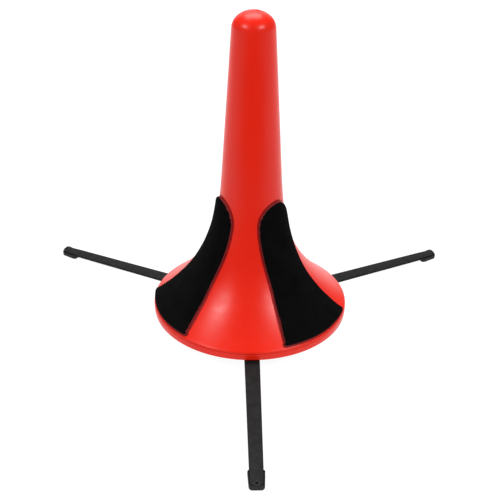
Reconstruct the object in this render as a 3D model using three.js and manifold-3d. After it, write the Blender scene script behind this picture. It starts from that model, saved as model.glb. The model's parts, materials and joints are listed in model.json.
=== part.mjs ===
// Trumpet stand: a moulded cone that fills the bell of the trumpet, three velvet
// pads that the bell rests on, and a plug-in hub with three legs that fold down.
// Millimetres, +Z up, floor at z = 0. The front leg points towards -Y.
import * as THREE from 'three';
import { mergeVertices } from 'three/addons/utils/BufferGeometryUtils.js';
import Module from 'manifold-3d';

const wasm = await Module();
wasm.setup();

// ---------------------------------------------------------------------------
// Driving dimensions
// ---------------------------------------------------------------------------

const rad = THREE.MathUtils.degToRad;
const gap = 0.3;                 // clearance between pieces that touch
const roundSegments = 48;        // facets round the cone
const smallSegments = 20;        // facets round pins, screws and holes

// Cone
const height = 204;              // floor to the top of the dome
const rimRadius = 62;            // a trumpet bell is about 123 mm across
const rimBottom = 10.4;          // underside of the rim above the floor
const lipTop = 15.4;             // top of the upright part of the lip
const lipRound = 1.2;            // rounding from the lip into the flare
const flareSlope = rad(37.6);    // slope of the flare where it meets the lip
const flareTopRadius = 17.55;
const flareTopZ = 116.3;
const lowerPull = 52.3;          // how long the flare keeps its slope at the lip
const upperPull = 42.8;          // how long it keeps the tower's slope
const domeRadius = 12.65;
const domeHeight = 10;
const wall = 2.4;
const gateRadius = 1.3;          // moulding dimple on top of the dome
const gateDepth = 0.5;

// Velvet pads
const padThickness = 2.4;
const padAzimuths = { velvet_pad_right: -44.1, velvet_pad_left: -158.5, velvet_pad_rear: 79 };
const padBaseHalfAngle = 25.7;   // degrees, over the lower part
const padTopHalfAngle = 34.5;    // degrees, where the rounded top begins
const padFootFlare = 1;          // degrees that the lower corners flare out
const padFootHeight = 16;        // distance up the flare that this takes
const padWidening = [33, 77];    // distances up the flare between which it widens
const padStart = 0.8;            // distance up the flare from the lip's edge
const padTopStart = 75.6;        // distance up the flare to the rounded top
const padTopRadius = 13.9;
const padCorner = 1.5;

// Legs: flat steel strip with a rolled eye, sloping from under the rim to the floor
const legAzimuths = { front: -90, right: 30, left: 147.6 };   // not quite evenly spread
const endSlants = { front: 0, right: 0.3, left: -0.3 };       // how far the ends are off square
const tipReach = 158.7;          // cone axis to the end of a foot
const legTopAtRim = 9.4;         // top of the strip under the rim
const legTopAtTip = 3.3;
const stripThickness = 2.0;
const stripRootWidth = 10.3;
const stripFootWidth = 7.8;      // where the foot begins
const stripEndWidth = 6.8;
const stripEndRound = 1.3;
const pinDistance = 14;          // hinge pin from the cone axis
const pinRadius = 1.5;
const pinLength = 17;
const eyeHole = pinRadius + gap;
const eyeRadius = eyeHole + stripThickness;

// Feet: a rubber tray under the strip, held by a stud pulled through a hole
const footStart = 145;
const footShoulder = 147.2;
const footShoulderWidth = 9.5;
const footEndWidth = 8.4;
const footRound = 1.8;
const footRim = 0.9;             // rubber past the end of the strip
const footWallDrop = 1.1;        // the tray's sides stop below the strip's top
const footEndDrop = 0.4;         // and so does its end
const studDistance = 155.6;
const studRadius = 1.2;
const studHeadRadius = 1.9;
const studHeadHeight = 0.4;

// Hub: body and cover clamp the hinge pins between them
const hubBottom = 3.2;
const barrelRadius = 20;
const flangeRadius = 28;
const flangeBottom = 12.2;
const flangeTop = 15;
const spigotTop = 26;
const spigotWall = 2.4;
const slotWidth = stripRootWidth + 0.8;
const slotInner = eyeRadius + 0.5;
const hubScrewDistance = 13.5;
const hubScrew = { head: 2.6, headHeight: 1.8, shaft: 1.3, length: 8 };

// Base plate with the socket for the hub's spigot
const plateBottom = 12.5;         // clear of the tops of the legs' eyes
const plateThickness = 2.0;
const socketTop = 25;
const socketWall = 2.2;
const plateScrewDistance = 48;
const plateScrew = { head: 2.9, headHeight: 1.3, shaft: 1.4, length: 9 };
const bossRadius = 4;
const bossHoleTop = 23;

// The slope of the legs and the height of their pins follow from the above.
const legSlope = Math.atan((legTopAtRim - legTopAtTip) / (tipReach - rimRadius));
const pinZ = legTopAtRim + (rimRadius - pinDistance) * Math.tan(legSlope)
  - eyeRadius / Math.cos(legSlope);

// ---------------------------------------------------------------------------
// Materials
// ---------------------------------------------------------------------------

const finish = (color, roughness, metalness = 0) =>
  () => new THREE.MeshStandardMaterial({ color, roughness, metalness });
const redPlastic = finish(0xe03424, 0.38);
const velvet = finish(0x0c0c0c, 0.95);
const blackPlastic = finish(0x1d1d1f, 0.5);
const paintedSteel = finish(0x343435, 0.6, 0.2);
const zincSteel = finish(0x9a9ca0, 0.35, 0.9);
const rubber = finish(0x222222, 0.85);

// ---------------------------------------------------------------------------
// Helpers
// ---------------------------------------------------------------------------

// A closed geometry as a manifold solid, without shading seams or empty triangles.
function solid(geometry) {
  const bare = geometry.clone();
  bare.deleteAttribute('normal');
  bare.deleteAttribute('uv');
  const merged = mergeVertices(bare, 1e-4);
  const source = merged.index.array;
  const triangles = [];
  for (let i = 0; i < source.length; i += 3) {
    const [a, b, c] = [source[i], source[i + 1], source[i + 2]];
    if (a !== b && b !== c && c !== a) triangles.push(a, b, c);
  }
  return new wasm.Manifold(new wasm.Mesh({
    numProp: 3,
    vertProperties: new Float32Array(merged.attributes.position.array),
    triVerts: new Uint32Array(triangles),
  }));
}

function toGeometry(manifold) {
  const mesh = manifold.getMesh();
  const geometry = new THREE.BufferGeometry();
  geometry.setAttribute('position', new THREE.BufferAttribute(mesh.vertProperties, 3));
  geometry.setIndex(new THREE.BufferAttribute(mesh.triVerts, 1));
  geometry.computeVertexNormals();
  return geometry;
}

function cut(body, tools) {
  return tools.reduce((left, tool) => left.subtract(solid(tool)), body);
}

// A profile of [radius, z] pairs, from the axis up the outside, turned about Z.
function turned(profile, segments = roundSegments) {
  const points = profile.map(([r, z]) => new THREE.Vector2(r, z));
  return new THREE.LatheGeometry(points, segments).rotateX(Math.PI / 2);
}

function rod(radius, bottom, top, segments = smallSegments) {
  return new THREE.CylinderGeometry(radius, radius, top - bottom, segments)
    .rotateX(Math.PI / 2)
    .translate(0, 0, (bottom + top) / 2);
}

function block(x0, x1, y0, y1, z0, z1) {
  return new THREE.BoxGeometry(x1 - x0, y1 - y0, z1 - z0)
    .translate((x0 + x1) / 2, (y0 + y1) / 2, (z0 + z1) / 2);
}

// An outline in XY raised from one height to another.
function raised(shape, bottom, top) {
  return new THREE.ExtrudeGeometry(shape, { depth: top - bottom, bevelEnabled: false, curveSegments: 8 })
    .translate(0, 0, bottom);
}

// A side view in XZ, drawn through the given width about Y = 0.
function drawnAcross(shape, width) {
  return new THREE.ExtrudeGeometry(shape, { depth: width, bevelEnabled: false, curveSegments: 20 })
    .rotateX(Math.PI / 2)
    .translate(0, width / 2, 0);
}

// One closed skin through a row of closed rings. A ring runs out along one face
// and back along the other, so its two halves close each end.
function loft(rings) {
  const count = rings[0].length;
  const index = [];
  const quad = (a, b, c, d) => index.push(a, b, c, a, c, d);
  for (let i = 0; i + 1 < rings.length; i++) {
    for (let j = 0; j < count; j++) {
      const next = (j + 1) % count;
      quad(i * count + j, i * count + next, (i + 1) * count + next, (i + 1) * count + j);
    }
  }
  const last = (rings.length - 1) * count;
  for (let j = 0; j + 1 < count / 2; j++) {
    const back = count - 1 - j;
    quad(j, back, back - 1, j + 1);
    quad(last + j, last + j + 1, last + back - 1, last + back);
  }
  const geometry = new THREE.BufferGeometry();
  const flat = rings.flat().flatMap((p) => [p.x, p.y, p.z]);
  geometry.setAttribute('position', new THREE.Float32BufferAttribute(flat, 3));
  geometry.setIndex(index);
  return geometry;
}

function place(parent, name, geometry, material) {
  const mesh = new THREE.Mesh(geometry, material());
  mesh.name = name;
  parent.add(mesh);
  return mesh;
}

// Copies of a tool at the azimuths of the three legs, or between them.
function atLegs(makeTool, offset = 0) {
  return Object.values(legAzimuths).map((azimuth) => makeTool().rotateZ(rad(azimuth + offset)));
}

// From a leg's own frame at its pin (x along the leg) to the spoke frame on the axis.
function fromPin(geometry) {
  return geometry.rotateY(legSlope).translate(pinDistance, 0, pinZ);
}

// ---------------------------------------------------------------------------
// Cone
// ---------------------------------------------------------------------------

const lipEdge = new THREE.Vector2(
  rimRadius - lipRound * (1 - Math.sin(flareSlope)),
  lipTop + lipRound * Math.cos(flareSlope),
);
const flareTop = new THREE.Vector2(flareTopRadius, flareTopZ);
const domeBase = new THREE.Vector2(domeRadius, height - domeHeight);
const taper = flareTop.clone().sub(domeBase).normalize();
const flare = new THREE.CubicBezierCurve(
  lipEdge,
  lipEdge.clone().add(new THREE.Vector2(-Math.cos(flareSlope), Math.sin(flareSlope)).multiplyScalar(lowerPull)),
  flareTop.clone().addScaledVector(taper, upperPull),
  flareTop,
);

// A point of the flare at a distance up it from the lip, moved out along the normal.
function flarePoint(distance, offset) {
  const u = Math.min(distance / flare.getLength(), 1);
  const point = flare.getPointAt(u);
  const along = flare.getTangentAt(u);
  return [point.x + offset * along.y, point.y - offset * along.x];
}

function flareLine(offset, steps) {
  const length = flare.getLength();
  return Array.from({ length: steps + 1 }, (_, i) => flarePoint(length * i / steps, offset));
}

function domeLine(inset, steps) {
  return Array.from({ length: steps }, (_, i) => {
    const angle = rad(3 + 80 * i / (steps - 1));
    return [
      (domeRadius - inset) * Math.cos(angle),
      domeBase.y + (domeHeight - inset) * Math.sin(angle),
    ];
  });
}

function outerProfile() {
  const rounding = [0, 0.5].map((part) => {
    const angle = part * (Math.PI / 2 - flareSlope);
    return [
      rimRadius - lipRound * (1 - Math.cos(angle)),
      lipTop + lipRound * Math.sin(angle),
    ];
  });
  return [
    [0, rimBottom],
    [rimRadius - 0.5, rimBottom],
    [rimRadius, rimBottom + 0.5],
    ...rounding,
    ...flareLine(0, 16),
    ...domeLine(0, 7),
    [gateRadius, height - 0.05],
    [gateRadius * 0.6, height - gateDepth],
    [0, height - gateDepth],
  ];
}

function innerProfile() {
  const lining = flareLine(-wall, 12);
  return [
    [0, rimBottom - 5],
    [lining[0][0], rimBottom - 5],
    ...lining,
    ...domeLine(wall, 4),
    [0, height - wall],
  ];
}

function coneShell() {
  const bosses = atLegs(() => rod(bossRadius, plateBottom + plateThickness + gap, 40)
    .translate(plateScrewDistance, 0, 0), 60);
  const pilots = atLegs(() => rod(plateScrew.shaft + gap, 5, bossHoleTop)
    .translate(plateScrewDistance, 0, 0), 60);
  const hollow = cut(solid(turned(innerProfile())), bosses);
  return toGeometry(cut(solid(turned(outerProfile())).subtract(hollow), pilots));
}

// ---------------------------------------------------------------------------
// Velvet pads
// ---------------------------------------------------------------------------

// Half the pad's angle, in radians, at a distance up the flare.
function padHalfAngle(distance) {
  const widening = THREE.MathUtils.smoothstep(distance, ...padWidening);
  const foot = Math.max(1 - distance / padFootHeight, 0);
  return rad(padBaseHalfAngle + (padTopHalfAngle - padBaseHalfAngle) * widening
    + padFootFlare * foot ** 2);
}

function padRing(distance, halfAngle) {
  const steps = 8;
  const arc = (offset, from, to) => Array.from({ length: steps + 1 }, (_, i) => {
    const [r, z] = flarePoint(distance, offset);
    const angle = from + (to - from) * i / steps;
    return new THREE.Vector3(r * Math.cos(angle), r * Math.sin(angle), z);
  });
  return [...arc(padThickness, -halfAngle, halfAngle), ...arc(gap, halfAngle, -halfAngle)];
}

function velvetPad() {
  const cornerAngle = padCorner / rimRadius;
  const rings = [padRing(padStart, padHalfAngle(padStart) - cornerAngle)];
  const straightSteps = 14;
  for (let i = 0; i <= straightSteps; i++) {
    const start = padStart + padCorner;
    const distance = start + (padTopStart - start) * i / straightSteps;
    rings.push(padRing(distance, padHalfAngle(distance)));
  }
  const shoulder = padHalfAngle(padTopStart);
  for (const turn of [20, 38, 54, 68, 80, 87].map(rad)) {
    const distance = padTopStart + padTopRadius * Math.sin(turn);
    rings.push(padRing(distance, shoulder * Math.cos(turn)));
  }
  return toGeometry(solid(loft(rings)));
}

// ---------------------------------------------------------------------------
// Base plate and hub
// ---------------------------------------------------------------------------

function basePlate() {
  const edge = flarePoint(0, -wall)[0] - 0.4;
  const top = plateBottom + plateThickness;
  const recess = flangeTop + gap;
  const bore = barrelRadius + gap;
  const raisedTop = recess + plateThickness;
  const profile = [
    [bore, recess],
    [flangeRadius + 0.5, recess],
    [flangeRadius + 0.5, plateBottom],
    [edge, plateBottom],
    [edge, top],
    [flangeRadius + 0.5 + plateThickness, top],
    [flangeRadius + 0.5 + plateThickness, raisedTop],
    [bore + socketWall, raisedTop],
    [bore + socketWall, socketTop],
    [bore, socketTop],
    [bore, recess],
  ];
  const holes = atLegs(() => rod(plateScrew.shaft + gap, 5, 20)
    .translate(plateScrewDistance, 0, 0), 60);
  return toGeometry(cut(solid(turned(profile)), holes));
}

// Room for a leg and its eye, open below and outwards so that the leg can fold.
function legSlot() {
  return fromPin(block(-slotInner, 30, -slotWidth / 2, slotWidth / 2, -30, eyeRadius + gap));
}

function pinGroove() {
  return fromPin(rod(eyeHole, -pinLength / 2 - gap, pinLength / 2 + gap).rotateX(Math.PI / 2));
}

function hubBody() {
  const profile = [
    [0, pinZ + gap / 2],
    [barrelRadius, pinZ + gap / 2],
    [barrelRadius, flangeBottom],
    [flangeRadius - 0.6, flangeBottom],
    [flangeRadius, flangeBottom + 0.6],
    [flangeRadius, flangeTop],
    [barrelRadius, flangeTop],
    [barrelRadius, spigotTop - 1],
    [barrelRadius - 1, spigotTop],
    [barrelRadius - spigotWall, spigotTop],
    [barrelRadius - spigotWall, flangeTop + gap],
    [0, flangeTop + gap],
  ];
  const screwHoles = atLegs(() => rod(hubScrew.shaft + gap, 0, flangeTop - 1)
    .translate(hubScrewDistance, 0, 0), 60);
  const tools = [...atLegs(legSlot), ...atLegs(pinGroove), ...screwHoles];
  return toGeometry(cut(solid(turned(profile)), tools));
}

function hubCover() {
  const profile = [
    [0, hubBottom],
    [barrelRadius - 0.8, hubBottom],
    [barrelRadius, hubBottom + 0.8],
    [barrelRadius, pinZ - gap / 2],
    [0, pinZ - gap / 2],
  ];
  const sinks = atLegs(() => rod(hubScrew.head + gap, 0, hubBottom + hubScrew.headHeight + 2 * gap)
    .translate(hubScrewDistance, 0, 0), 60);
  const holes = atLegs(() => rod(hubScrew.shaft + gap, 0, 20)
    .translate(hubScrewDistance, 0, 0), 60);
  const tools = [...atLegs(legSlot), ...atLegs(pinGroove), ...sinks, ...holes];
  return toGeometry(cut(solid(turned(profile)), tools));
}

// A pan-head screw with its head down and a cross recess; z = 0 is the head's face.
function crossScrew({ head, headHeight, shaft, length }) {
  const profile = [
    [0, 0],
    [head - 0.5, 0],
    [head, 0.5],
    [head, headHeight],
    [shaft, headHeight],
    [shaft, headHeight + length - 1],
    [shaft * 0.3, headHeight + length],
    [0, headHeight + length],
  ];
  const arm = head * 0.62;
  const recess = [
    block(-arm, arm, -0.35, 0.35, -1, 0.8),
    block(-0.35, 0.35, -arm, arm, -1, 0.8),
  ];
  return toGeometry(cut(solid(turned(profile, smallSegments)), recess));
}

function hingePin() {
  const half = pinLength / 2;
  const profile = [
    [0, -half],
    [pinRadius - 0.3, -half],
    [pinRadius, -half + 0.3],
    [pinRadius, half - 0.3],
    [pinRadius - 0.3, half],
    [0, half],
  ];
  return toGeometry(solid(turned(profile, smallSegments).rotateX(Math.PI / 2)));
}

// ---------------------------------------------------------------------------
// Legs and feet
// ---------------------------------------------------------------------------

// Along the leg from its pin, for a distance measured from the cone's axis.
const alongLeg = (distance) => (distance - pinDistance) / Math.cos(legSlope);

// An outline through half widths at distances along the leg. It ends flat, with
// rounded corners, and the slant moves each point of the end along in step with
// how far across it is.
function outlineThrough(stations, corner, slant) {
  const [end, endHalf] = stations.at(-1);
  const sides = stations.slice(0, -1);
  const shape = new THREE.Shape(sides.map(([x, half]) => new THREE.Vector2(x, -half)));
  shape.lineTo(end - corner, -endHalf);
  shape.absarc(end - corner, corner - endHalf, corner, -Math.PI / 2, 0);
  shape.absarc(end - corner, endHalf - corner, corner, 0, Math.PI / 2);
  sides.reverse().forEach(([x, half]) => shape.lineTo(x, half));
  const points = shape.getPoints(8);
  points.filter((point) => point.x > end - 1.5 * corner).forEach((point) => {
    point.x += slant * point.y;
  });
  return new THREE.Shape(points);
}

// Side view: the strip runs out from the top of an eye rolled round the pin.
function stripSide(end) {
  const curl = rad(5);
  const shape = new THREE.Shape();
  shape.moveTo(end, eyeRadius);
  shape.lineTo(0, eyeRadius);
  shape.absarc(0, 0, eyeRadius, Math.PI / 2, 2 * Math.PI + curl, false);
  shape.lineTo(eyeHole * Math.cos(curl), eyeHole * Math.sin(curl));
  shape.absarc(0, 0, eyeHole, 2 * Math.PI + curl, Math.PI / 2, true);
  shape.lineTo(end, eyeHole);
  shape.closePath();
  return shape;
}

function leg(slant) {
  const end = alongLeg(tipReach - footRim - gap);
  const outline = outlineThrough([
    [-10, stripRootWidth / 2],
    [alongLeg(footStart), stripFootWidth / 2],
    [end, stripEndWidth / 2],
  ], stripEndRound, slant);
  const strip = solid(drawnAcross(stripSide(end + 5), 2 * stripRootWidth))
    .intersect(solid(raised(outline, -10, 10)));
  const hole = rod(studRadius + gap, -10, 10).translate(alongLeg(studDistance), 0, 0);
  return toGeometry(cut(strip, [hole]));
}

function footOutline(slant) {
  return outlineThrough([
    [footStart, stripFootWidth / 2],
    [footShoulder, footShoulderWidth / 2],
    [tipReach, footEndWidth / 2],
  ], footRound, slant);
}

// The foot stands flat on the floor while the strip slopes down into it. Its end
// wall stands higher than its sides.
function foot(slant) {
  const end = alongLeg(tipReach - footRim);
  const nest = outlineThrough([
    [100, stripFootWidth / 2 + gap],
    [alongLeg(footStart), stripFootWidth / 2 + gap],
    [end, stripEndWidth / 2 + gap],
  ], stripEndRound, slant);
  const x = alongLeg(studDistance);
  const underStrip = fromPin(raised(nest, eyeHole - gap, 30));
  const aboveSides = fromPin(block(100, x, -20, 20, eyeRadius - footWallDrop, 30));
  const aboveEnd = fromPin(block(100, 200, -20, 20, eyeRadius - footEndDrop, 30));
  const tray = cut(solid(raised(footOutline(slant), 0, 10)), [underStrip, aboveSides, aboveEnd]);
  const stud = fromPin(rod(studRadius, eyeHole - 1, eyeRadius + gap + studHeadHeight).translate(x, 0, 0));
  const head = fromPin(rod(studHeadRadius, eyeRadius + gap, eyeRadius + gap + studHeadHeight)
    .translate(x, 0, 0));
  return toGeometry(tray.add(solid(stud)).add(solid(head)));
}

// ---------------------------------------------------------------------------
// Assembly
// ---------------------------------------------------------------------------

const stand = new THREE.Group();
const centre = new THREE.Group();
stand.add(centre);

place(centre, 'cone_shell', coneShell(), redPlastic);
place(centre, 'base_plate', basePlate(), blackPlastic);
place(centre, 'hub_body', hubBody(), blackPlastic);
place(centre, 'hub_cover', hubCover(), blackPlastic);

for (const [name, azimuth] of Object.entries(padAzimuths)) {
  place(centre, name, velvetPad(), velvet).rotation.z = rad(azimuth);
}

Object.entries(legAzimuths).forEach(([side, azimuth], i) => {
  const spoke = new THREE.Group();
  spoke.rotation.z = rad(azimuth);
  centre.add(spoke);

  const hinge = new THREE.Group();
  hinge.position.set(pinDistance, 0, pinZ);
  hinge.rotation.y = legSlope;
  spoke.add(hinge);
  place(hinge, `${side}_leg`, leg(endSlants[side]), paintedSteel);
  place(hinge, `${side}_hinge_pin`, hingePin(), zincSteel);
  place(spoke, `${side}_foot`, foot(endSlants[side]), rubber);

  const between = new THREE.Group();
  between.rotation.z = rad(60);
  spoke.add(between);
  place(between, `base_screw_${i + 1}`, crossScrew(plateScrew), zincSteel)
    .position.set(plateScrewDistance, 0, plateBottom - gap - plateScrew.headHeight);
  place(between, `hub_screw_${i + 1}`, crossScrew(hubScrew), zincSteel)
    .position.set(hubScrewDistance, 0, hubBottom + gap);
});

// The origin is on the floor, in the middle of the rectangle round the three feet.
const middle = new THREE.Box3().setFromObject(stand, true).getCenter(new THREE.Vector3());
centre.position.set(-middle.x, -middle.y, 0);

export default stand;
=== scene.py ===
"""Looks of the trumpet stand: a red moulded cone with three velvet pads, on a hub
with three folding legs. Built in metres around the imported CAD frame."""
import json
import math
from bisect import bisect_right
from collections import namedtuple
from itertools import product

import bmesh
import bpy
from mathutils import Matrix, Quaternion, Vector, noise


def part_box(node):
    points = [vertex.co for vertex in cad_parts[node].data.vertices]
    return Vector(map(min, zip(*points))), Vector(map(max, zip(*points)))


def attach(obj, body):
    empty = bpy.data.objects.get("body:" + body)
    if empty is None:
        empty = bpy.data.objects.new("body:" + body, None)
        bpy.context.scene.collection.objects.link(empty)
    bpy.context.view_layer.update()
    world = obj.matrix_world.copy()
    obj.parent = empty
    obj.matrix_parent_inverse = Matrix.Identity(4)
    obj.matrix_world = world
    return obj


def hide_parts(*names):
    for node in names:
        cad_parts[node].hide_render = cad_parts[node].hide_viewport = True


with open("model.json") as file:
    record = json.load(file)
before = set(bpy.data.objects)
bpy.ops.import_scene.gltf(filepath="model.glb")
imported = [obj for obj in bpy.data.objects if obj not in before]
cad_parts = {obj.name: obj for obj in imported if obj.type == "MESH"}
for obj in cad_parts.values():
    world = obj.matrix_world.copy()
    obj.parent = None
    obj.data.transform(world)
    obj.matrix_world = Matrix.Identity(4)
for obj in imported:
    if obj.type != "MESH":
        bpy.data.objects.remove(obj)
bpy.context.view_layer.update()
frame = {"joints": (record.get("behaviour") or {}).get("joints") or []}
MM = 0.001

# ---------------------------------------------------------------------------
# The frame: where the cone's axis stands, and the sizes the CAD gives
# ---------------------------------------------------------------------------

shell_low, shell_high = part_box("cone_shell")
AXIS_X = (shell_low.x + shell_high.x) / 2
AXIS_Y = (shell_low.y + shell_high.y) / 2
AXIS = Vector((AXIS_X, AXIS_Y, 0))
RIM_RADIUS = (shell_high.x - shell_low.x) / 2 / MM
RIM_BOTTOM = shell_low.z / MM

# Cone profile in millimetres, as in the CAD
HEIGHT = 204
WALL = 2.4
LIP_TOP = 15.4
LIP_ROUND = 1.2
LIP_FULLEST = 14.0              # height at which the lip's face stands furthest out
LIP_SAG = 0.012                 # how fast it falls back from there
PARTING_LINE_DEPTH = 0.3
RIM_EDGE = 0.6                  # rounding of the rim's underside
FLARE_SLOPE = math.radians(37.6)
FLARE_TOP = Vector((17.55, 116.3))
LOWER_PULL = 52.3
UPPER_PULL = 42.8
DOME_RADIUS = 12.65
DOME_HEIGHT = 10
CONE_SIDES = 160
GATE_PLACE = Vector((2.1, 0.3))  # from the axis
GATE_RADIUS = 1.15
GATE_DEPTH = 0.5
BOSS_RADIUS = 4
BOSS_PILOT = 1.4
BOSS_CHAMFER = 0.3

# Velvet pads: distances run up the flare from the lip, angles are in degrees
PAD_THICKNESS = 2.35
PAD_EDGE = 1.4                  # how far in the cut edge is rounded
PAD_CROWN = 0.25
PAD_CORNER = 1.5
PAD_SINK = -0.08                # the underside, just inside the shell
PAD_AZIMUTHS = {"left": -158.5, "right": -44.1, "rear": 79}
PAD_START = 0.8
PAD_TOP_START = 75.6
PAD_TOP_RADIUS = 13.9
PAD_BASE_HALF_ANGLE = 25.7
PAD_TOP_HALF_ANGLE = 34.5
PAD_FOOT_FLARE = 1.6
PAD_FOOT_HEIGHT = 24
PAD_WIDENING = (33, 77)
REFLECTION_WALL_LEAN = 58                  # faces that lean further than this are the foam's cut edge, given a painted red reflection
OUTLINE_AT_LIP = 0.35           # share of a move outwards that is kept at the lip
OUTLINE_EASE = 12
VELVET_REACH = 0.15
# the film of painted shade round each pad: how far out it reaches, its height, and how far it runs
# in under the pad
SHADE_FILM_REACH = 1.4
SHADE_FILM_HEIGHT = 0.06
SHADE_FILM_UNDER_PAD = -0.8

# Legs. Plans are (distance from the cone's axis, half width) stations.
PIN_DISTANCE = 14
PIN_RADIUS = 1.5
PIN_LENGTH = 17
STRIP = 2.0
STRIP_CROWN = 0.25
STRIP_CORNER = 0.35
EYE_HOLE = 1.8
EYE_RADIUS = EYE_HOLE + STRIP
TIP_REACH = 158.7
STRIP_PLAN = [(4, 5.15), (145, 3.9), (157.5, 3.4)]
STRIP_END_ROUND = 1.3
END_SLANTS = {"front_leg": 0, "right_leg": 0.3, "left_leg": -0.3}
LEG_TOP_AT_RIM = 9.4
LEG_TOP_AT_TIP = 3.3
LEG_SLOPE = math.atan((LEG_TOP_AT_RIM - LEG_TOP_AT_TIP) / (TIP_REACH - RIM_RADIUS))

# Feet
FOOT_START = 145
FOOT_PLAN = [(145, 3.9), (147.2, 4.75), (158.7, 4.2)]
FOOT_ROUND = 2.1
FOOT_WALL_DROP = 1.1            # the sides stop below the strip's top
FOOT_END_DROP = 0.4             # and so does the end
FOOT_END_START = 155.2
STUD_DISTANCE = 156.4
STUD_HEAD = 1.9
STUD_DEPTH = 1.8
DIMPLE = 0.85

# Hub, base plate and screws
HUB_BOTTOM = 3.2
BARREL_RADIUS = 20
FLANGE_RADIUS = 28
FLANGE_BOTTOM = 12.2
FLANGE_TOP = 15
SPIGOT_TOP = 26
SPIGOT_WALL = 2.4
SLOT_HALF = 5.5
PLATE_BOTTOM = 12.5
PLATE_THICKNESS = 2.0
SOCKET_TOP = 25
SOCKET_WALL = 2.2
SEAM = 0.3                      # clearance between the hub and the base plate
HUB_SCREW_DISTANCE = 13.5
PLATE_SCREW_DISTANCE = 48

Screw = namedtuple("Screw", "head head_height shaft length")
HUB_SCREW = Screw(2.6, 1.8, 1.3, 8)
PLATE_SCREW = Screw(2.9, 1.3, 1.4, 9)
SCREW_PITCH = 1.0
SCREW_RECESS = 0.33             # half the width of the recess's arms


# ---------------------------------------------------------------------------
# Camera, lights and floor
# ---------------------------------------------------------------------------

def make_camera():
    azimuth = math.radians(-91.823)
    away, up = 510.2 * MM, 348.46 * MM
    down, aim, lean = 0.5279, -0.0006, 0.0141
    data = bpy.data.cameras.new("camera")
    data.lens = 67.07
    data.sensor_width = 36
    camera = bpy.data.objects.new("camera", data)
    bpy.context.scene.collection.objects.link(camera)
    out = Vector((math.cos(azimuth), math.sin(azimuth), 0))
    side = Vector((-out.y, out.x, 0))
    camera.location = AXIS + out * away + Vector((0, 0, up))
    look = -out * math.cos(down) - Vector((0, 0, math.sin(down)))
    look = look * math.cos(aim) + side * math.sin(aim)
    camera.rotation_mode = "QUATERNION"
    roll = Quaternion((0, 0, 1), lean)
    camera.rotation_quaternion = look.to_track_quat("-Z", "Y") @ roll
    bpy.context.scene.camera = camera


def softbox(name, azimuth, elevation, distance, size, power):
    """A rectangular light that faces the middle of the cone."""
    data = bpy.data.lights.new(name, "AREA")
    data.shape = "RECTANGLE"
    data.size, data.size_y = size
    data.energy = power
    light = bpy.data.objects.new(name, data)
    bpy.context.scene.collection.objects.link(light)
    a, e = math.radians(azimuth), math.radians(elevation)
    out = Vector((math.cos(a) * math.cos(e), math.sin(a) * math.cos(e), math.sin(e)))
    light.location = AXIS + Vector((0, 0, 90 * MM)) + out * distance
    light.rotation_mode = "QUATERNION"
    light.rotation_quaternion = (-out).to_track_quat("-Z", "Y")


def make_studio():
    """White surroundings, four softboxes and the floor. Here sizes are in metres."""
    world = bpy.data.worlds.new("studio")
    world.use_nodes = True
    background = world.node_tree.nodes["Background"]
    background.inputs["Color"].default_value = (1, 1, 1, 1)
    background.inputs["Strength"].default_value = 0.22
    bpy.context.scene.world = world
    softbox("light_left", azimuth=-146, elevation=40, distance=0.9, size=(0.3, 0.08), power=3.3)
    softbox("light_right", azimuth=-45, elevation=40, distance=0.9, size=(0.28, 0.08), power=3.9)
    softbox("light_top", azimuth=92, elevation=66, distance=1.2, size=(0.9, 0.7), power=13.6)
    softbox("light_back", azimuth=90, elevation=24, distance=1.7, size=(1.9, 0.9), power=4.4)
    sheet("floor", place=(0, 0, -0.0002), width=6, depth=6, albedo=0.14, glow=0.95)
    card = sheet("dark_card", place=(0, -1.0, 0.0005), width=1.2, depth=1.6, albedo=0.03, glow=0)
    card.visible_camera = False
    card.visible_shadow = False
    bpy.context.scene.view_settings.view_transform = "Standard"


def sheet(name, place, width, depth, albedo, glow):
    """A flat sheet of the studio: the lit white floor, or the card that darkens the
    floor's light on the cone's front."""
    bpy.ops.mesh.primitive_plane_add(size=1, location=place)
    made = bpy.context.object
    made.name = name
    made.scale = (width, depth, 1)
    paint = bpy.data.materials.new(name + "_paint")
    paint.use_nodes = True
    shader = paint.node_tree.nodes["Principled BSDF"]
    shader.inputs["Base Color"].default_value = (albedo, albedo, albedo, 1)
    shader.inputs["Roughness"].default_value = 0.7
    shader.inputs["Specular IOR Level"].default_value = 0.1
    shader.inputs["Emission Color"].default_value = (1, 1, 1, 1)
    shader.inputs["Emission Strength"].default_value = glow
    made.data.materials.append(paint)
    return made


# ---------------------------------------------------------------------------
# Materials
# ---------------------------------------------------------------------------

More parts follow.
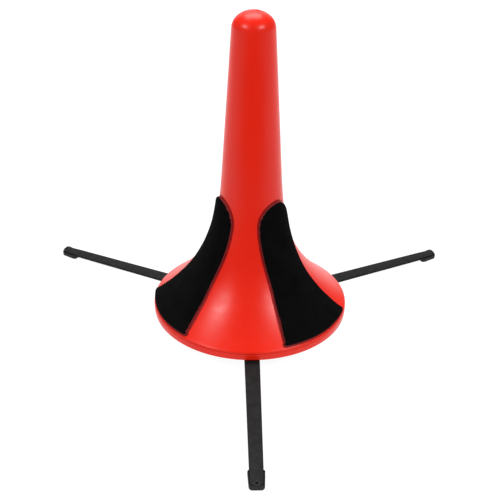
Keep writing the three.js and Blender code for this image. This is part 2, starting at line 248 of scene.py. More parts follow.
class Paint:
    """A node material on object coordinates, with short ways to add its nodes."""

    def __init__(self, name, **constants):
        self.material = bpy.data.materials.new(name)
        self.material.use_nodes = True
        self.tree = self.material.node_tree
        self.shader = self.tree.nodes["Principled BSDF"]
        self.coords = self.tree.nodes.new("ShaderNodeTexCoord").outputs["Object"]
        for socket, value in constants.items():
            self.shader.inputs[socket.replace("_", " ")].default_value = value

    def node(self, kind, settings=None, **inputs):
        made = self.tree.nodes.new(kind)
        for key, value in (settings or {}).items():
            setattr(made, key, value)
        for key, value in inputs.items():
            self.feed(made.inputs[key.replace("_", " ")], value)
        return made

    def feed(self, socket, value):
        if isinstance(value, bpy.types.NodeSocket):
            self.tree.links.new(value, socket)
        else:
            socket.default_value = value

    def noise(self, size_mm, detail=3, roughness=0.55):
        """Fractal noise whose features are about size_mm across."""
        made = self.node("ShaderNodeTexNoise", Vector=self.coords, Scale=1 / (size_mm * MM),
                         Detail=detail, Roughness=roughness)
        return made.outputs["Fac"]

    def spread(self, value, low, high, start=0.3, end=0.7):
        """The value, from start to end, turned into low to high."""
        made = self.node("ShaderNodeMapRange", Value=value)
        made.inputs["From Min"].default_value = start
        made.inputs["From Max"].default_value = end
        made.inputs["To Min"].default_value = low
        made.inputs["To Max"].default_value = high
        return made.outputs["Result"]

    def mottle(self, pattern, dark, light):
        """A colour that goes from dark to light with a noise pattern."""
        made = self.node("ShaderNodeMix", {"data_type": "RGBA"})
        colours = [s for s in made.inputs if s.type == "RGBA"]
        factor = [s for s in made.inputs if s.name == "Factor" and s.type == "VALUE"][0]
        self.feed(factor, self.spread(pattern, 0, 1))
        self.feed(colours[0], (*dark, 1))
        self.feed(colours[1], (*light, 1))
        return [s for s in made.outputs if s.type == "RGBA"][0]

    def bump(self, height, depth_mm):
        made = self.node("ShaderNodeBump", Height=height, Distance=depth_mm * MM, Strength=1.0)
        return made.outputs["Normal"]

    def finish(self, **sockets):
        for key, value in sockets.items():
            self.feed(self.shader.inputs[key.replace("_", " ")], value)
        return self.material


def red_plastic():
    paint = Paint("red_plastic", Specular_IOR_Level=0.26)
    cloud = paint.noise(40, detail=2)
    colour = paint.mottle(cloud, (0.74, 0.0135, 0.0028), (0.78, 0.0165, 0.0038))
    grain = paint.noise(0.6, detail=4)
    rough = paint.spread(paint.noise(6, detail=4), 0.28, 0.35)
    return paint.finish(Base_Color=colour, Roughness=rough, Normal=paint.bump(grain, 0.004))


def velvet():
    paint = Paint("velvet", Roughness=1.0, Specular_IOR_Level=0.03,
                  Sheen_Weight=0.015, Sheen_Roughness=0.35, Sheen_Tint=(0.5, 0.5, 0.5, 1))
    nap = paint.noise(9, detail=3)
    colour = paint.mottle(nap, (0.0018, 0.0018, 0.0019), (0.0038, 0.0036, 0.0037))
    pile = paint.noise(0.35, detail=3, roughness=0.7)
    return paint.finish(Base_Color=colour, Normal=paint.bump(pile, 0.25))


def foam_edge_painted_reflection():
    """The cut edge of a pad's foam, its red a painted reflection of the plastic beside it."""
    paint = Paint("foam_edge_painted_reflection", Roughness=0.9, Specular_IOR_Level=0.1)
    cells = paint.noise(0.5, detail=3)
    # these reds are painted reflection: the red plastic's colour put on the foam's cut edge
    colour = paint.mottle(cells, (0.15, 0.015, 0.016), (0.25, 0.026, 0.027))
    return paint.finish(Base_Color=colour, Normal=paint.bump(cells, 0.1))


def pad_painted_shade():
    """Painted shade: a dark red film round a pad that stands in for the pad's contact shadow on the
    red plastic.
    """
    paint = Paint("pad_painted_shade", Roughness=0.45, Specular_IOR_Level=0.2)
    wave = paint.noise(4, detail=3)
    # dark reds that paint the pad's contact shadow on the plastic
    colour = paint.mottle(wave, (0.24, 0.0015, 0.0015), (0.34, 0.003, 0.0025))
    return paint.finish(Base_Color=colour)


def black_plastic():
    paint = Paint("black_plastic", Specular_IOR_Level=0.5)
    grain = paint.noise(0.5, detail=4, roughness=0.7)
    rough = paint.spread(paint.noise(5, detail=3), 0.48, 0.6)
    colour = paint.mottle(grain, (0.012, 0.012, 0.013), (0.020, 0.020, 0.021))
    return paint.finish(Base_Color=colour, Roughness=rough, Normal=paint.bump(grain, 0.03))


def leg_paint():
    paint = Paint("leg_paint", Specular_IOR_Level=0.09)
    grain = paint.noise(0.8, detail=4, roughness=0.65)
    patch = paint.noise(5, detail=3)
    colour = paint.mottle(patch, (0.0085, 0.0085, 0.0087), (0.0165, 0.0165, 0.0169))
    rough = paint.spread(grain, 0.5, 0.66)
    return paint.finish(Base_Color=colour, Roughness=rough, Normal=paint.bump(grain, 0.05))


def foot_rubber():
    paint = Paint("foot_rubber", Specular_IOR_Level=0.35)
    grain = paint.noise(0.4, detail=3)
    colour = paint.mottle(grain, (0.011, 0.011, 0.011), (0.018, 0.018, 0.018))
    return paint.finish(Base_Color=colour, Roughness=0.78, Normal=paint.bump(grain, 0.03))


def zinc_steel():
    paint = Paint("zinc_steel", Metallic=1.0)
    grain = paint.noise(0.5, detail=3)
    colour = paint.mottle(grain, (0.50, 0.51, 0.53), (0.62, 0.62, 0.62))
    return paint.finish(Base_Color=colour, Roughness=paint.spread(grain, 0.25, 0.4))


# ---------------------------------------------------------------------------
# Mesh helpers
# ---------------------------------------------------------------------------

def mesh_from(name, verts, faces, matrix):
    """An object from points in millimetres, merged, facing out and put in place."""
    mesh = bpy.data.meshes.new(name)
    mesh.from_pydata([Vector(v) * MM for v in verts], [], faces)
    work = bmesh.new()
    work.from_mesh(mesh)
    bmesh.ops.remove_doubles(work, verts=work.verts, dist=0.001 * MM)
    bmesh.ops.dissolve_degenerate(work, edges=work.edges, dist=0.0005 * MM)
    bmesh.ops.recalc_face_normals(work, faces=work.faces)
    work.to_mesh(mesh)
    work.free()
    mesh.transform(matrix)
    made = bpy.data.objects.new(name, mesh)
    bpy.context.scene.collection.objects.link(made)
    return made


def dress(piece, material, node, body):
    """Gives a finished piece its material, hides the CAD node it stands in for, and puts it under
    its body in the frame.
    """
    piece.data.shade_smooth()
    piece.data.materials.clear()
    piece.data.materials.append(material)
    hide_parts(node)
    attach(piece, body)


def bake(piece):
    """Puts what the modifiers make in place of the piece's mesh."""
    graph = bpy.context.evaluated_depsgraph_get()
    made = bpy.data.meshes.new_from_object(piece.evaluated_get(graph))
    piece.modifiers.clear()
    piece.data = made


def cut_away(piece, tools):
    """Takes the tools' shapes out of the piece, and the tools out of the scene."""
    for tool in tools:
        step = piece.modifiers.new("cut", "BOOLEAN")
        step.operation = "DIFFERENCE"
        step.solver = "EXACT"
        step.object = tool
    bake(piece)
    for tool in tools:
        bpy.data.objects.remove(tool)


def soften(piece, width):
    """Rounds the sharp edges by a width in millimetres."""
    step = piece.modifiers.new("soften", "BEVEL")
    step.width = width * MM
    step.segments = 2
    step.limit_method = "ANGLE"
    step.angle_limit = math.radians(35)
    bake(piece)


def crisp(piece, angle):
    """Keeps flat faces flat to the eye, and edges over an angle in degrees sharp."""
    piece.data.set_sharp_from_angle(angle=math.radians(angle))
    step = piece.modifiers.new("crisp", "WEIGHTED_NORMAL")
    step.keep_sharp = True
    step.weight = 80
    bake(piece)


def ring_faces(rings, count):
    """Faces between rings of points, numbered one ring after another."""
    faces = []
    for i in range(rings - 1):
        for j in range(count):
            k = (j + 1) % count
            faces.append((i * count + j, i * count + k, (i + 1) * count + k, (i + 1) * count + j))
    return faces


def capped_faces(rings, count):
    """The same, with the first and the last ring closed by a face."""
    last = rings * count
    caps = [tuple(range(count)), tuple(range(last - 1, last - 1 - count, -1))]
    return ring_faces(rings, count) + caps


def turned(name, profile, sides, matrix):
    """A closed object turned about Z from (radius, z) points that start and end on
    the axis or meet."""
    verts = []
    for r, z in profile:
        for j in range(sides):
            a = 2 * math.pi * j / sides
            verts.append((r * math.cos(a), r * math.sin(a), z))
    return mesh_from(name, verts, ring_faces(len(profile), sides), matrix)


def rod(radius, low, high, matrix):
    """A cylinder about Z between two heights."""
    return turned("rod", [(0, low), (radius, low), (radius, high), (0, high)], 36, matrix)


def block(low, high, matrix):
    """A box between two opposite corners."""
    corners = list(product(*zip(low, high)))
    faces = [(0, 1, 3, 2), (4, 5, 7, 6), (0, 1, 5, 4), (2, 3, 7, 6), (0, 2, 6, 4), (1, 3, 7, 5)]
    return mesh_from("block", corners, faces, matrix)


def arc(cx, cz, radius, start, end, steps):
    """Points round part of a circle, from one angle in degrees to another."""
    return [(cx + radius * math.cos(math.radians(start + (end - start) * i / steps)),
             cz + radius * math.sin(math.radians(start + (end - start) * i / steps)))
            for i in range(steps + 1)]


# ---------------------------------------------------------------------------
# Cone
# ---------------------------------------------------------------------------

class Flare:
    """The cone's flare, walked by distance up it from the lip."""

    def __init__(self):
        lip = Vector((RIM_RADIUS - LIP_ROUND * (1 - math.sin(FLARE_SLOPE)),
                      LIP_TOP + LIP_ROUND * math.cos(FLARE_SLOPE)))
        out = Vector((-math.cos(FLARE_SLOPE), math.sin(FLARE_SLOPE)))
        taper = (FLARE_TOP - Vector((DOME_RADIUS, HEIGHT - DOME_HEIGHT))).normalized()
        self.controls = [lip, lip + out * LOWER_PULL, FLARE_TOP + taper * UPPER_PULL, FLARE_TOP]
        self.steps = 2000
        self.points = [self.at(i / self.steps) for i in range(self.steps + 1)]
        self.heights = [point.y for point in self.points]
        self.lengths = [0.0]
        for a, b in zip(self.points, self.points[1:]):
            self.lengths.append(self.lengths[-1] + (b - a).length)
        self.length = self.lengths[-1]

    def at(self, t):
        a, b, c, d = self.controls
        s = 1 - t
        return a * s ** 3 + b * 3 * s * s * t + c * 3 * s * t * t + d * t ** 3

    def step_below(self, values, value):
        """The last step whose value, of values that rise, isn't over the one given."""
        return min(max(bisect_right(values, value) - 1, 0), self.steps - 1)

    def direction(self, step):
        return (self.points[step + 1] - self.points[step]).normalized()

    def point(self, distance, offset=0.0):
        """(radius, z) at a distance up the flare, moved out along the normal."""
        low = self.step_below(self.lengths, distance)
        part = (distance - self.lengths[low]) / (self.lengths[low + 1] - self.lengths[low])
        place = self.points[low].lerp(self.points[low + 1], part)
        along = self.direction(low)
        return place.x + offset * along.y, place.y - offset * along.x

    def line(self, offset, steps):
        return [self.point(self.length * i / steps, offset) for i in range(steps + 1)]

    def normal(self, z, radial):
        """The direction out from the flare at a height, given the direction out in plan."""
        along = self.direction(self.step_below(self.heights, z))
        return (radial * along.y - Vector((0, 0, along.x))).normalized()

    def inside_height(self, radius):
        """Height of the flare's inner face at a radius."""
        low, high = 0.0, self.length
        while high - low > 0.01:
            middle = (low + high) / 2
            if self.point(middle, -WALL)[0] > radius:
                low = middle
            else:
                high = middle
        return self.point(low, -WALL)[1]


flare = Flare()


def dome_line(inset, angles):
    """The dome's ellipse at angles in degrees up from its foot."""
    base = HEIGHT - DOME_HEIGHT
    return [((DOME_RADIUS - inset) * math.cos(math.radians(a)),
             base + (DOME_HEIGHT - inset) * math.sin(math.radians(a))) for a in angles]


def lip_line():
    """The lip's face from below: fullest a little under its top, with the mould's
    parting line as a fine groove below its edge."""
    steps = 10
    low, high = RIM_BOTTOM + RIM_EDGE, LIP_TOP - 0.75
    heights = [low + (high - low) * i / steps for i in range(steps + 1)]
    face = [(RIM_RADIUS - LIP_SAG * (z - LIP_FULLEST) ** 2, z) for z in heights]
    groove = RIM_RADIUS - PARTING_LINE_DEPTH
    parting_line = [(groove, high + 0.12), (groove, high + 0.38)]
    return face + parting_line + [(RIM_RADIUS - 0.02, high + 0.5), (RIM_RADIUS, LIP_TOP)]


def gate_mark(x, y):
    """Height of the moulding gate's mark on the dome: a pit with a low lip."""
    distance = (Vector((x, y)) - GATE_PLACE).length
    if distance < GATE_RADIUS:
        return -GATE_DEPTH * min((GATE_RADIUS - distance) / 0.3, 1)
    return 0.08 * max(1 - (distance - GATE_RADIUS) / 0.45, 0)


def cone_boss(azimuth):
    """A screw boss that stands between the base plate and the flare's inner face."""
    sides = 32
    foot = PLATE_BOTTOM + PLATE_THICKNESS
    rings = [(BOSS_PILOT, foot), (BOSS_RADIUS - BOSS_CHAMFER, foot),
             (BOSS_RADIUS, foot + BOSS_CHAMFER), (BOSS_RADIUS, None), (BOSS_PILOT, None)]
    verts = []
    for radius, z in rings:
        for j in range(sides):
            a = 2 * math.pi * j / sides
            x, y = PLATE_SCREW_DISTANCE + radius * math.cos(a), radius * math.sin(a)
            inside_the_wall = flare.inside_height(math.hypot(x, y)) + 1.0
            verts.append((x, y, inside_the_wall if z is None else z))
    faces = ring_faces(len(rings), sides)
    last = (len(rings) - 1) * sides
    faces += [(last + j, last + (j + 1) % sides, (j + 1) % sides, j) for j in range(sides)]
    piece = mesh_from("cone_boss", verts, faces, spoke_matrix(azimuth))
    dress(piece, RED, "cone_shell", "cone")


def cone():
    """The whole shell, turned, with steps close together near the gate's mark."""
    edge = RIM_EDGE
    inner_rim = flare.point(0, -WALL)[0]
    outer_rim = RIM_RADIUS - 0.11
    outside = (
        arc(inner_rim + edge, RIM_BOTTOM + edge, edge, 180, 270, 5)
        + arc(outer_rim - edge, RIM_BOTTOM + edge, edge, 270, 350, 5)
        + lip_line()
        + arc(RIM_RADIUS - LIP_ROUND, LIP_TOP, LIP_ROUND, 6, 90 - math.degrees(FLARE_SLOPE), 5)[:-1]
        + flare.line(0, 90)
        + dome_line(0, [3 + 57 * i / 18 for i in range(19)])
        + dome_line(0, [60 + 30 * i / 40 for i in range(1, 41)])
    )
    inside = flare.line(-WALL, 40) + dome_line(WALL, [3 + 87 * i / 10 for i in range(11)])
    piece = turned("cone", list(reversed(inside)) + outside, CONE_SIDES, Matrix())
    for vertex in piece.data.vertices:
        x, y, z = vertex.co / MM
        if z > HEIGHT - 2:
            vertex.co.z += gate_mark(x, y) * MM
    piece.data.transform(Matrix.Translation(AXIS))
    dress(piece, RED, "cone_shell", "cone")


# ---------------------------------------------------------------------------
# Velvet pads
# ---------------------------------------------------------------------------

def pad_half_angle(distance):
    """Half the angle that the pad spans round the cone, at a distance up the flare."""
    low, high = PAD_WIDENING
    part = min(max((distance - low) / (high - low), 0), 1)
    widening = part * part * (3 - 2 * part)
    foot = max(1 - distance / PAD_FOOT_HEIGHT, 0)
    return math.radians(PAD_BASE_HALF_ANGLE + (PAD_TOP_HALF_ANGLE - PAD_BASE_HALF_ANGLE) * widening
                        + PAD_FOOT_FLARE * foot ** 2)


def pad_width(distance):
    """Half the pad's width in millimetres, measured round the cone."""
    radius = flare.point(min(distance, PAD_TOP_START), PAD_THICKNESS)[0]
    if distance <= PAD_TOP_START:
        return radius * pad_half_angle(distance)
    rise = (distance - PAD_TOP_START) / PAD_TOP_RADIUS
    return radius * pad_half_angle(PAD_TOP_START) * math.sqrt(max(1 - rise * rise, 0))


def pad_outline(step):
    """The right half of the flat outline, from the middle of the base to the top,
    as (across, up) points about a step apart."""
    base_half = pad_width(PAD_START) - PAD_CORNER
    start = PAD_START + PAD_CORNER
    count = round(base_half / step)
    points = [(i * base_half / count, PAD_START) for i in range(count)]
    points += arc(base_half, start, PAD_CORNER, 270, 355, 5)
    count = round((PAD_TOP_START - start) / step)
    for i in range(1, count):
        up = start + (PAD_TOP_START - start) * i / count
        points.append((pad_width(up), up))
    count = round(PAD_TOP_RADIUS * math.pi / 2 / step)
    for i in range(count + 1):
        a = math.pi / 2 * i / count
        width = pad_width(PAD_TOP_START) * math.cos(a)
        points.append((width, PAD_TOP_START + PAD_TOP_RADIUS * math.sin(a)))
    return points


def moved_outline(reach):
    """The whole outline, moved out by a distance that is smaller near the lip."""
    half = pad_outline(0.8)
    outline = [Vector(point) for point in half + [(-x, y) for x, y in reversed(half[1:-1])]]
    moved = []
    for i, spot in enumerate(outline):
        along = (outline[(i + 1) % len(outline)] - outline[i - 1]).normalized()
        up = min(max((spot.y - PAD_START) / OUTLINE_EASE, 0), 1)
        move = reach * (OUTLINE_AT_LIP + (1 - OUTLINE_AT_LIP) * up)
        moved.append((spot.x + along.y * move, spot.y - along.x * move))
    return moved


def pad_rings(outline):
    """Rings from the outline in to a spine, close together near the edge, with each
    point as (across, up, distance from the edge)."""
    spine_low, spine_high = PAD_START + 22, PAD_TOP_START
    near = [0, 0.1, 0.25, 0.45, 0.7, 1.0, 1.5, 2.2, 3.2]
    inner_steps = 16
    made = []
    for k in range(len(near) + inner_steps):
        ring = []
        for across, up in outline:
            start = Vector((across, up))
            spine = Vector((0, min(max(up, spine_low), spine_high)))
            length = (spine - start).length
            if k < len(near):
                distance = min(near[k], length * 0.5 * (k + 1) / len(near))
            else:
                first = min(near[-1], length * 0.5)
                part = (k - len(near) + 1) / inner_steps
                distance = first + (length - first) * part
            spot = start.lerp(spine, distance / length)
            ring.append((spot.x, spot.y, distance))
        made.append(ring)
    return made


def pad_height(distance):
    """Foam height over the shell: a rounded edge and a slight crown."""
    wall, crown_reach = 0.3, 7
    edge = min(distance / PAD_EDGE, 1)
    rounded = math.sqrt(max(1 - (1 - edge) ** 2, 0))
    crown = 1 - math.exp(-distance / crown_reach)
    return wall + (PAD_THICKNESS - 2 * wall) * rounded + PAD_CROWN * crown


def on_shell(azimuth, across, up, height):
    """A point of a pad: across and up the flare, and out from the shell."""
    around = flare.point(min(up, PAD_TOP_START), PAD_THICKNESS)[0]
    r, z = flare.point(up, height)
    angle = math.radians(azimuth) + across / around
    return (r * math.cos(angle), r * math.sin(angle), z)


def velvet_pad(side, azimuth):
    """The pad, closed, from its underside round its edge to the uneven pile on top."""
    outline = moved_outline(VELVET_REACH)
    rings = pad_rings(outline)
    seed = Vector((azimuth, 3.1, 7.7))
    verts = []
    for ring in reversed(rings):
        verts += [on_shell(azimuth, x, y, PAD_SINK) for x, y, _ in ring]
    for ring in rings:
        for x, y, distance in ring:
            spot = Vector((x, y, 0))
            waves = noise.noise(spot * 0.09 + seed) * 0.12
            pile = noise.noise(spot * 2.1 + seed) * 0.05
            verts.append(on_shell(azimuth, x, y, pad_height(distance) + waves + pile))
    faces = ring_faces(2 * len(rings), len(outline))
    piece = mesh_from(f"velvet_{side}", verts, faces, Matrix.Translation(AXIS))
    dress(piece, VELVET, f"velvet_pad_{side}", "cone")
    tint_pad_wall_painted_reflection(piece)


def tint_pad_wall_painted_reflection(piece):
    """Gives the faces of the pad's outer wall the foam's material, whose red is a painted reflection
    of the plastic beside it.
    """
    piece.data.materials.append(FOAM_PAINTED_REFLECTION)
    lean = math.cos(math.radians(REFLECTION_WALL_LEAN))
    for face in piece.data.polygons:
        x, y, z = face.center - AXIS
        radial = Vector((x, y, 0)).normalized()
        if flare.normal(z / MM, radial).dot(face.normal) < lean:
            face.material_index = 1


def painted_shade_film(side, azimuth):
    """The film of painted shade round the pad, widest at its sides and top."""
    section = [(0, PAD_SINK), (SHADE_FILM_REACH, PAD_SINK), (SHADE_FILM_REACH - 0.04, SHADE_FILM_HEIGHT),
               (SHADE_FILM_UNDER_PAD, SHADE_FILM_HEIGHT), (SHADE_FILM_UNDER_PAD, PAD_SINK)]
    verts = []
    for reach, height in section:
        verts += [on_shell(azimuth, x, y, height) for x, y in moved_outline(reach)]
    faces = ring_faces(len(section), len(verts) // len(section))
    piece = mesh_from(f"shade_film_{side}", verts, faces, Matrix.Translation(AXIS))
    dress(piece, PAINTED_SHADE, f"velvet_pad_{side}", "cone")


# ---------------------------------------------------------------------------
# Legs
# ---------------------------------------------------------------------------

Hinge = namedtuple("Hinge", "side body pin out across")


def hinges():
    """Each leg's side, body, pin and directions out and across, from the frame."""
    for joint in frame["joints"]:
        if joint["name"].endswith("_leg_fold"):
            body = joint["child"]
            across = Vector(joint["axis"])
            out = across.cross(Vector((0, 0, 1)))
            yield Hinge(body.split("_")[0], body, Vector(joint["pos_m"]), out, across)


def along_leg(distance):
    """Distance along the sloping strip from its pin, for one from the cone's axis."""
    return (distance - PIN_DISTANCE) / math.cos(LEG_SLOPE)


def spoke_matrix(azimuth):
    """On the cone's axis at floor level, with x pointing out at an azimuth."""
    return Matrix.Translation(AXIS) @ Matrix.Rotation(math.radians(azimuth), 4, "Z")


def leg_matrix(hinge):
    """At the pin, with x along the strip and z up from it."""
    x = hinge.out * math.cos(LEG_SLOPE) - Vector((0, 0, math.sin(LEG_SLOPE)))
    z = x.cross(hinge.across)
    rows = Matrix((x, hinge.across, z)).transposed().to_4x4()
    return Matrix.Translation(hinge.pin) @ rows


def pin_matrix(hinge):
    """At the pin, with z along it."""
    return leg_matrix(hinge) @ Matrix.Rotation(math.pi / 2, 4, "X")


def stud_matrix(hinge):
    """On the strip's top, over the foot's stud."""
    place = Vector((along_leg(STUD_DISTANCE), 0, EYE_RADIUS)) * MM
    return leg_matrix(hinge) @ Matrix.Translation(place)


def half_width(plan, x):
    """Half width at x through (x, half width) stations."""
    for (x0, h0), (x1, h1) in zip(plan, plan[1:]):
        if x <= x1:
            return h0 + (h1 - h0) * (x - x0) / (x1 - x0)
    return plan[-1][1]


def strip_section(half, lift):
    """The strip's section as (across, up) points with rounded corners and a top
    that sags a little towards its edges. Lift thins it for the very end."""
    corner, thick = STRIP_CORNER, STRIP / 2 - lift
    side = half - corner
    edge = thick - STRIP_CROWN
    points = arc(side, corner - thick, corner, -90, 0, 3)
    points += arc(side, edge - corner, corner, 0, 90, 3)
    for share in (0.75, 0.5, 0.25, 0, -0.25, -0.5, -0.75):
        points.append((side * share, thick - STRIP_CROWN * share * share))
    points += arc(-side, edge - corner, corner, 90, 180, 3)
    points += arc(-side, corner - thick, corner, 180, 270, 3)
    return points


def strip_stations():
    """Sections along the strip, from the rolled eye to the rounded end, each as
    (x, z, direction up from the section, half width, lift)."""
    plan = [(along_leg(x), half) for x, half in STRIP_PLAN]
    end = plan[-1][0]
    middle = EYE_HOLE + STRIP / 2
    upright = math.pi / 2
    stations = []
    for degrees in range(365, 90, -11):
        a = math.radians(degrees)
        stations.append((middle * math.cos(a), middle * math.sin(a), a, plan[0][1], 0))
    round_start = end - STRIP_END_ROUND
    straight = [0, 2, 6] + [12 + 8 * i for i in range(16)] + [round_start]
    stations += [(x, middle, upright, half_width(plan, x), 0) for x in straight]
    for degrees in (25, 45, 62, 76):
        turn = math.radians(degrees)
        half = half_width(plan, end) - STRIP_END_ROUND * (1 - math.cos(turn))
        stations.append((round_start + STRIP_END_ROUND * math.sin(turn), middle, upright, half, 0))
    stations.append((end, middle, upright, stations[-1][3] - 0.6, 0.25))
    return stations


def leg(hinge):
    """The flat strip: an eye rolled round the pin, and an end cut at a slant."""
    stations = strip_stations()
    slant_start = stations[-1][0] - STRIP_END_ROUND - 0.01
    verts = []
    for x, z, a, half, lift in stations:
        slant = END_SLANTS[hinge.body] if x > slant_start else 0
        for y, up in strip_section(half, lift):
            verts.append((x + up * math.cos(a) + slant * y, y, z + up * math.sin(a)))
    faces = capped_faces(len(stations), len(verts) // len(stations))
    piece = mesh_from(f"{hinge.body}_strip", verts, faces, leg_matrix(hinge))
    dress(piece, LEG, hinge.body, hinge.body)
    cut_away(piece, [rod(DIMPLE + 0.1, -STUD_DEPTH, 1, stud_matrix(hinge))])
    crisp(piece, 50)


def strip_under(x):
    """Height of the strip's underside above the floor, at x from the cone's axis."""
    top = LEG_TOP_AT_RIM + (RIM_RADIUS - x) * math.tan(LEG_SLOPE)
    return top - STRIP / math.cos(LEG_SLOPE)


def foot_wall_top(x):
    """Height of the tray's walls, which rise from its start and again at its end."""
    rise = min(max((x - FOOT_START - 0.2) / 1.6, 0), 1)
    close = min(max((x - FOOT_END_START) / 0.8, 0), 1)
    height = STRIP - FOOT_WALL_DROP + (FOOT_WALL_DROP - FOOT_END_DROP) * close
    return strip_under(x) + height * rise * rise * (3 - 2 * rise)


def foot_height(base, amount, x):
    """A height over the floor, below the wall's top, or over the strip's underside."""
    if base == "floor":
        return amount
    if base == "wall":
        return foot_wall_top(x) - amount
    return strip_under(x) + amount


def foot_ring(inset, end_inset, slant, base, amount):
    """The foot's outline moved in, with a height at each point."""
    end = FOOT_PLAN[-1][0] - end_inset
    corner = max(FOOT_ROUND - end_inset, 0.6)
    square = end - corner
    xs = [FOOT_START + min(inset, 0.4), 145.7, 146.3, 146.8, 147.2]
    xs += [148, 150, 152, 154, 156, square]
    points = [(x, half_width(FOOT_PLAN, x) - inset) for x in xs]
    side = points[-1][1]
    points += arc(square, side - corner, corner, 90, 0, 6)[1:]
    ring = []
    for x, y in points + [(x, -y) for x, y in reversed(points)]:
        slanted = x + slant * y if x > square - 0.01 else x
        ring.append((slanted, y, foot_height(base, amount, x)))
    return ring


def foot(hinge):
    """A rubber tray: round underneath, walls beside the strip, a bed below it."""
    steps = [(1.6, 1.6, "floor", 0), (0.5, 0.5, "floor", 0), (0.15, 0.15, "floor", 0.15),
             (0, 0, "floor", 0.5), (0, 0, "wall", 0.28), (0.08, 0.08, "wall", 0.08),
             (0.22, 0.25, "wall", 0), (0.36, 0.6, "wall", 0), (0.46, 0.8, "wall", 0.1),
             (0.5, 0.86, "wall", 0.3), (0.5, 0.9, "strip", 0.03), (1.6, 2.0, "strip", 0.03)]
    slant = END_SLANTS[hinge.body]
    verts = []
    for inset, end_inset, base, amount in steps:
        verts += foot_ring(inset, end_inset, slant, base, amount)
    faces = capped_faces(len(steps), len(verts) // len(steps))
    rows = Matrix((hinge.out, hinge.across, Vector((0, 0, 1)))).transposed().to_4x4()
    piece = mesh_from(f"{hinge.side}_tray", verts, faces, Matrix.Translation(AXIS) @ rows)
    dress(piece, RUBBER, f"{hinge.side}_foot", hinge.body)
    crisp(piece, 60)


def stud(hinge):
    """The stud's round head on top of the strip, with a dimple in its middle."""
    dimple = [(0, -1.5), (DIMPLE - 0.1, -1.4), (DIMPLE, -1.2), (DIMPLE, 0.05)]
    head = [(0.92, 0.22), (1.1, 0.3), (1.5, 0.27), (1.75, 0.16), (STUD_HEAD, 0)]
    sunk = [(STUD_HEAD, -STUD_DEPTH), (0, -STUD_DEPTH)]
    piece = turned(f"{hinge.side}_stud", dimple + head + sunk, 40, stud_matrix(hinge))
    dress(piece, RUBBER, f"{hinge.side}_foot", hinge.body)


def hinge_pin(hinge):
    half, chamfer = PIN_LENGTH / 2, 0.35
    profile = [(0, -half), (PIN_RADIUS - chamfer, -half), (PIN_RADIUS, chamfer - half),
               (PIN_RADIUS, half - chamfer), (PIN_RADIUS - chamfer, half), (0, half)]
    piece = turned(f"{hinge.side}_pin", profile, 48, pin_matrix(hinge))
    dress(piece, ZINC, f"{hinge.side}_hinge_pin", "hub")
    crisp(piece, 30)


# ---------------------------------------------------------------------------
# Hub, base plate and screws
# ---------------------------------------------------------------------------

def hub_cuts():
    """Slots for the legs and grooves for their pins, each open to the outside."""
    groove = PIN_LENGTH / 2 + 0.2
    tools = []
    for hinge in hinges():
        inner = (-EYE_RADIUS - 0.5, -SLOT_HALF, -30)
        outer = (30, SLOT_HALF, EYE_RADIUS + 0.3)
        tools.append(block(inner, outer, leg_matrix(hinge)))
        tools.append(rod(PIN_RADIUS + 0.03, -groove, groove, pin_matrix(hinge)))
    return tools


def screw_azimuths():
    """The screws stand 60 degrees round from the legs."""
    for hinge in hinges():
        yield math.degrees(math.atan2(hinge.out.y, hinge.out.x)) + 60


def screw_holes(distance, radius, low, high):
    return [rod(radius, low, high, spoke_matrix(azimuth) @ Matrix.Translation((distance * MM, 0, 0)))
            for azimuth in screw_azimuths()]


def hub_split():
    """Height at which the hub's body and cover meet: the middle of the pins."""
    return next(hinges()).pin.z / MM


def hub_body():
    """The barrel's upper part with its flange and, above it, the hollow spigot."""
    bottom = hub_split() + 0.05
    fillet = 0.6
    bore, floor = BARREL_RADIUS - SPIGOT_WALL, FLANGE_TOP + 0.3
    profile = [(0, bottom), (BARREL_RADIUS, bottom), (BARREL_RADIUS, FLANGE_BOTTOM - fillet)]
    profile += arc(BARREL_RADIUS + fillet, FLANGE_BOTTOM - fillet, fillet, 180, 90, 4)[1:]
    profile += arc(FLANGE_RADIUS - fillet, FLANGE_BOTTOM + fillet, fillet, 270, 360, 4)
    profile += [(FLANGE_RADIUS, FLANGE_TOP), (BARREL_RADIUS, FLANGE_TOP)]
    profile += arc(BARREL_RADIUS - 1, SPIGOT_TOP - 1, 1, 0, 90, 6)
    profile += [(bore, SPIGOT_TOP), (bore, floor), (0, floor)]
    piece = turned("hub_top", profile, 96, Matrix.Translation(AXIS))
    cut_away(piece, hub_cuts() + screw_holes(HUB_SCREW_DISTANCE, 1.4, 0, FLANGE_TOP - 1))
    soften(piece, 0.2)
    dress(piece, BLACK, "hub_body", "hub")
    crisp(piece, 32)


def hub_cover():
    """The barrel's lower part, with the screws' heads sunk in its underside."""
    top = hub_split() - 0.05
    fillet = 0.9
    profile = [(0, HUB_BOTTOM)]
    profile += arc(BARREL_RADIUS - fillet, HUB_BOTTOM + fillet, fillet, 270, 360, 5)
    profile += [(BARREL_RADIUS, top), (0, top)]
    piece = turned("hub_lid", profile, 96, Matrix.Translation(AXIS))
    tools = hub_cuts() + screw_holes(HUB_SCREW_DISTANCE, 2.8, 0, HUB_BOTTOM + 2.2)
    cut_away(piece, tools + screw_holes(HUB_SCREW_DISTANCE, 1.4, 2, 20))
    soften(piece, 0.2)
    dress(piece, BLACK, "hub_cover", "hub")
    crisp(piece, 32)


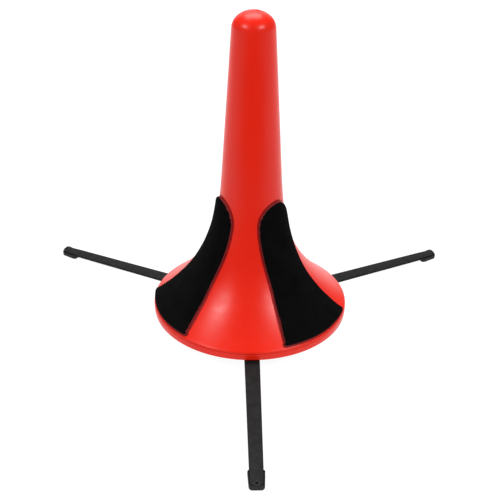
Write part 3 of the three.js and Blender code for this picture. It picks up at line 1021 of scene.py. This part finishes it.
def base_plate():
    """A disc inside the rim, raised over the hub's flange, with the spigot's socket."""
    fillet, chamfer = 0.4, 0.3
    rim = flare.point(0, -WALL)[0] - 0.4
    top = PLATE_BOTTOM + PLATE_THICKNESS
    recess = FLANGE_TOP + SEAM
    raised_top = recess + PLATE_THICKNESS
    bore, step = BARREL_RADIUS + SEAM, FLANGE_RADIUS + 0.5
    socket = bore + SOCKET_WALL
    shoulder = step + 2.3
    profile = [(bore, recess), (step, recess)]
    profile += arc(step + fillet, PLATE_BOTTOM + fillet, fillet, 180, 270, 3)
    profile += arc(rim - fillet, PLATE_BOTTOM + fillet, fillet, 270, 360, 3)
    profile += [(rim, top), (shoulder, top)]
    profile += [(shoulder, raised_top - 0.4), (shoulder - 0.4, raised_top)]
    profile += [(socket, raised_top), (socket, SOCKET_TOP - chamfer), (socket - chamfer, SOCKET_TOP)]
    profile += [(bore, SOCKET_TOP), (bore, recess)]
    piece = turned("socket_plate", profile, 120, Matrix.Translation(AXIS))
    cut_away(piece, screw_holes(PLATE_SCREW_DISTANCE, 1.6, 5, 20))
    dress(piece, BLACK, "base_plate", "cone")
    crisp(piece, 32)


def screw(node, azimuth, distance, height, size, body):
    """A pan-head screw, head down, with a cross recess in a domed head."""
    profile = [(0, 0)]
    for degrees in range(15, 91, 15):
        a = math.radians(degrees)
        profile.append((size.head * math.sin(a), size.head_height * 0.55 * (1 - math.cos(a))))
    profile += [(size.head, size.head_height), (size.shaft, size.head_height)]
    root = size.shaft * 0.8
    for i in range(int(size.length / SCREW_PITCH)):
        base = size.head_height + i * SCREW_PITCH
        profile += [(root, base + 0.25), (size.shaft, base + 0.6), (root, base + 0.95)]
    tip = size.head_height + size.length
    profile += [(size.shaft * 0.3, tip), (0, tip)]
    matrix = spoke_matrix(azimuth) @ Matrix.Translation((distance * MM, 0, height * MM))
    piece = turned(f"pan_{node}", profile, 40, matrix)
    arm = size.head * 0.6
    cut_away(piece, [block((-x, -y, -1), (x, y, 0.8), matrix)
                     for x, y in ((arm, SCREW_RECESS), (SCREW_RECESS, arm))])
    dress(piece, ZINC, node, body)
    crisp(piece, 35)


# ---------------------------------------------------------------------------
# Build
# ---------------------------------------------------------------------------

make_camera()
make_studio()

RED = red_plastic()
VELVET = velvet()
# the pads' cut edges, coloured with a painted red reflection of the plastic
FOAM_PAINTED_REFLECTION = foam_edge_painted_reflection()
# painted shade: the dark film that stands in for the pads' contact shadow
PAINTED_SHADE = pad_painted_shade()
BLACK = black_plastic()
LEG = leg_paint()
RUBBER = foot_rubber()
ZINC = zinc_steel()

cone()
for side, azimuth in PAD_AZIMUTHS.items():
    velvet_pad(side, azimuth)
    # the film of painted shade round the pad
    painted_shade_film(side, azimuth)
for hinge in hinges():
    leg(hinge)
    foot(hinge)
    stud(hinge)
    hinge_pin(hinge)
hub_body()
hub_cover()
base_plate()
for number, azimuth in enumerate(screw_azimuths(), 1):
    cone_boss(azimuth)
    screw(f"base_screw_{number}", azimuth, PLATE_SCREW_DISTANCE,
          PLATE_BOTTOM - PLATE_SCREW.head_height, PLATE_SCREW, "cone")
    screw(f"hub_screw_{number}", azimuth, HUB_SCREW_DISTANCE, HUB_BOTTOM + 0.3, HUB_SCREW, "hub")
